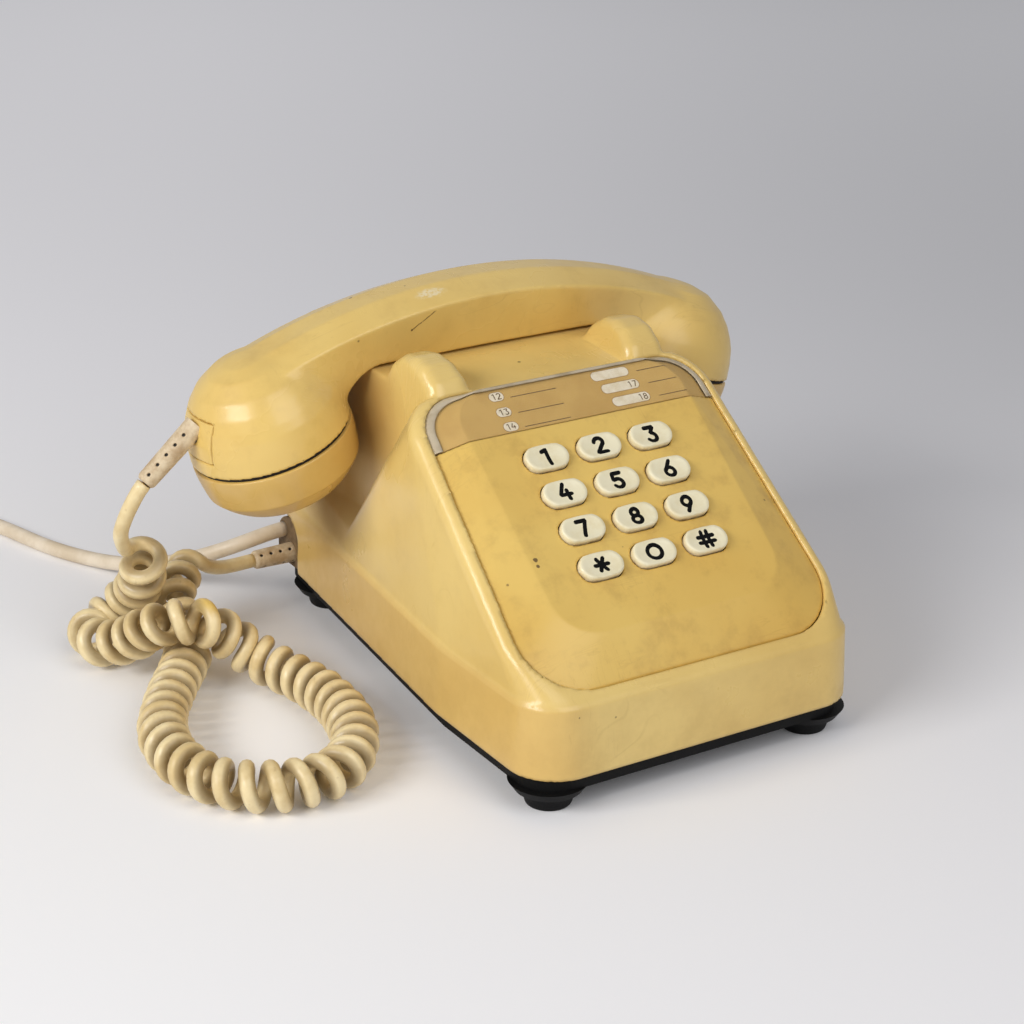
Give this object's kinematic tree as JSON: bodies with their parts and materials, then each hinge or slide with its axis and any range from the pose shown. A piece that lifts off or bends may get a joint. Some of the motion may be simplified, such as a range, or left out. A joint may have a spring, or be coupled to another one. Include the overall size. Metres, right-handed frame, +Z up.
{
  "type": "push-button desk telephone",
  "caption": "Wedge-shaped push-button desk telephone with a lift-off handset on a raised cradle, a keypad, a card window, a curly cord and a line cord.",
  "frame": {"origin": "on the table, below the middle of the body and its handset", "axes": "+Z up, the keypad faces -Y, and the handset runs along X with its cord at -X"},
  "size_m": [0.3311, 0.478, 0.126],
  "materials": {
    "shell_plastic": "aged yellowed gloss plastic with fine scratches",
    "face_plastic": "aged satin plastic, a little darker than the shell",
    "cap_plastic": "aged gloss plastic",
    "key_plastic": "cream plastic with black moulded-in signs",
    "hook_plastic": "cream plastic",
    "window_clear": "clear acrylic, a little scuffed",
    "card_paper": "printed paper card",
    "black_plastic": "black plastic",
    "foot_rubber": "black rubber",
    "grommet_rubber": "dark rubber",
    "mat_rubber": "silicone rubber",
    "steel": "zinc-plated steel",
    "circuit_board": "laminate board",
    "transformer_iron": "varnished iron",
    "capacitor_film": "dipped film",
    "coil_winding": "enamelled copper winding",
    "gong_brass": "spun brass",
    "terminal_plastic": "moulded plastic",
    "capsule_metal": "pressed can",
    "sleeve_rubber": "beige flexible plastic",
    "curly_cord": "beige cord jacket",
    "line_cord": "grey-beige cord jacket",
    "plug_plastic": "cream plastic"
  },
  "bodies": {
    "base": {"housing": "shell_plastic", "base_plate": "black_plastic", "rubber_feet": "foot_rubber", "case_screws": "steel", "faceplate": "face_plastic", "card_insert": "card_paper", "card_window": "window_clear", "keypad_frame": "black_plastic", "keypad_board": "circuit_board", "key_mat": "mat_rubber", "keypad_screws": "steel", "main_board": "circuit_board", "speech_transformer": "transformer_iron", "capacitors": "capacitor_film", "terminal_block": "terminal_plastic", "ringer_base": "steel", "ringer_coils": "coil_winding", "gong_left": "gong_brass", "gong_right": "gong_brass", "gong_screws": "steel", "clapper_pin": "steel", "hook_bracket": "steel", "hook_spring": "steel", "hook_switch": "black_plastic", "cord_grommet": "grommet_rubber", "base_sleeve": "sleeve_rubber", "handset_lead": "curly_cord", "curly_coil": "curly_cord", "base_lead": "curly_cord", "line_cord": "line_cord", "line_cord_coil": "line_cord", "line_plug": "plug_plastic"},
    "handset": {"handset_shell": "shell_plastic", "mouth_cap": "cap_plastic", "ear_cap": "cap_plastic", "microphone": "capsule_metal", "earphone": "capsule_metal", "cord_block": "shell_plastic", "handset_sleeve": "sleeve_rubber"},
    "hook": {"hook_plungers": "hook_plastic"},
    "clapper": {"clapper": "steel"},
    "key_1": {"key_1": "key_plastic"},
    "key_2": {"key_2": "key_plastic"},
    "key_3": {"key_3": "key_plastic"},
    "key_4": {"key_4": "key_plastic"},
    "key_5": {"key_5": "key_plastic"},
    "key_6": {"key_6": "key_plastic"},
    "key_7": {"key_7": "key_plastic"},
    "key_8": {"key_8": "key_plastic"},
    "key_9": {"key_9": "key_plastic"},
    "key_star": {"key_star": "key_plastic"},
    "key_0": {"key_0": "key_plastic"},
    "key_hash": {"key_hash": "key_plastic"}
  },
  "joints": [
    {"name": "handset_lift", "type": "slide", "parent": "base", "child": "handset", "axis": [0, 0, 1], "range_m": [0, 0.08]},
    {"name": "hook_rise", "type": "slide", "parent": "base", "child": "hook", "axis": [0, 0, 1], "range_m": [0, 0.0045], "stiffness_N_per_m": 150, "springref_m": 0.012, "deforming": ["hook_spring"]},
    {"name": "clapper_swing", "type": "hinge", "parent": "base", "child": "clapper", "pos_m": [0, 0.03, 0.025], "axis": [0, 0, 1], "range_deg": [-2.1, 2.1], "stiffness_Nm_per_rad": 0.002},
    {"name": "key_1_press", "type": "slide", "parent": "base", "child": "key_1", "axis": [0, 0.6157, -0.788], "range_m": [0, 0.002], "stiffness_N_per_m": 300, "springref_m": -0.001},
    {"name": "key_2_press", "type": "slide", "parent": "base", "child": "key_2", "axis": [0, 0.6157, -0.788], "range_m": [0, 0.002], "stiffness_N_per_m": 300, "springref_m": -0.001},
    {"name": "key_3_press", "type": "slide", "parent": "base", "child": "key_3", "axis": [0, 0.6157, -0.788], "range_m": [0, 0.002], "stiffness_N_per_m": 300, "springref_m": -0.001},
    {"name": "key_4_press", "type": "slide", "parent": "base", "child": "key_4", "axis": [0, 0.6157, -0.788], "range_m": [0, 0.002], "stiffness_N_per_m": 300, "springref_m": -0.001},
    {"name": "key_5_press", "type": "slide", "parent": "base", "child": "key_5", "axis": [0, 0.6157, -0.788], "range_m": [0, 0.002], "stiffness_N_per_m": 300, "springref_m": -0.001},
    {"name": "key_6_press", "type": "slide", "parent": "base", "child": "key_6", "axis": [0, 0.6157, -0.788], "range_m": [0, 0.002], "stiffness_N_per_m": 300, "springref_m": -0.001},
    {"name": "key_7_press", "type": "slide", "parent": "base", "child": "key_7", "axis": [0, 0.6157, -0.788], "range_m": [0, 0.002], "stiffness_N_per_m": 300, "springref_m": -0.001},
    {"name": "key_8_press", "type": "slide", "parent": "base", "child": "key_8", "axis": [0, 0.6157, -0.788], "range_m": [0, 0.002], "stiffness_N_per_m": 300, "springref_m": -0.001},
    {"name": "key_9_press", "type": "slide", "parent": "base", "child": "key_9", "axis": [0, 0.6157, -0.788], "range_m": [0, 0.002], "stiffness_N_per_m": 300, "springref_m": -0.001},
    {"name": "key_star_press", "type": "slide", "parent": "base", "child": "key_star", "axis": [0, 0.6157, -0.788], "range_m": [0, 0.002], "stiffness_N_per_m": 300, "springref_m": -0.001},
    {"name": "key_0_press", "type": "slide", "parent": "base", "child": "key_0", "axis": [0, 0.6157, -0.788], "range_m": [0, 0.002], "stiffness_N_per_m": 300, "springref_m": -0.001},
    {"name": "key_hash_press", "type": "slide", "parent": "base", "child": "key_hash", "axis": [0, 0.6157, -0.788], "range_m": [0, 0.002], "stiffness_N_per_m": 300, "springref_m": -0.001}
  ],
  "couplings": [
    {"joint": "hook_rise", "follows": "handset_lift", "ratio": 0.05625}
  ]
}
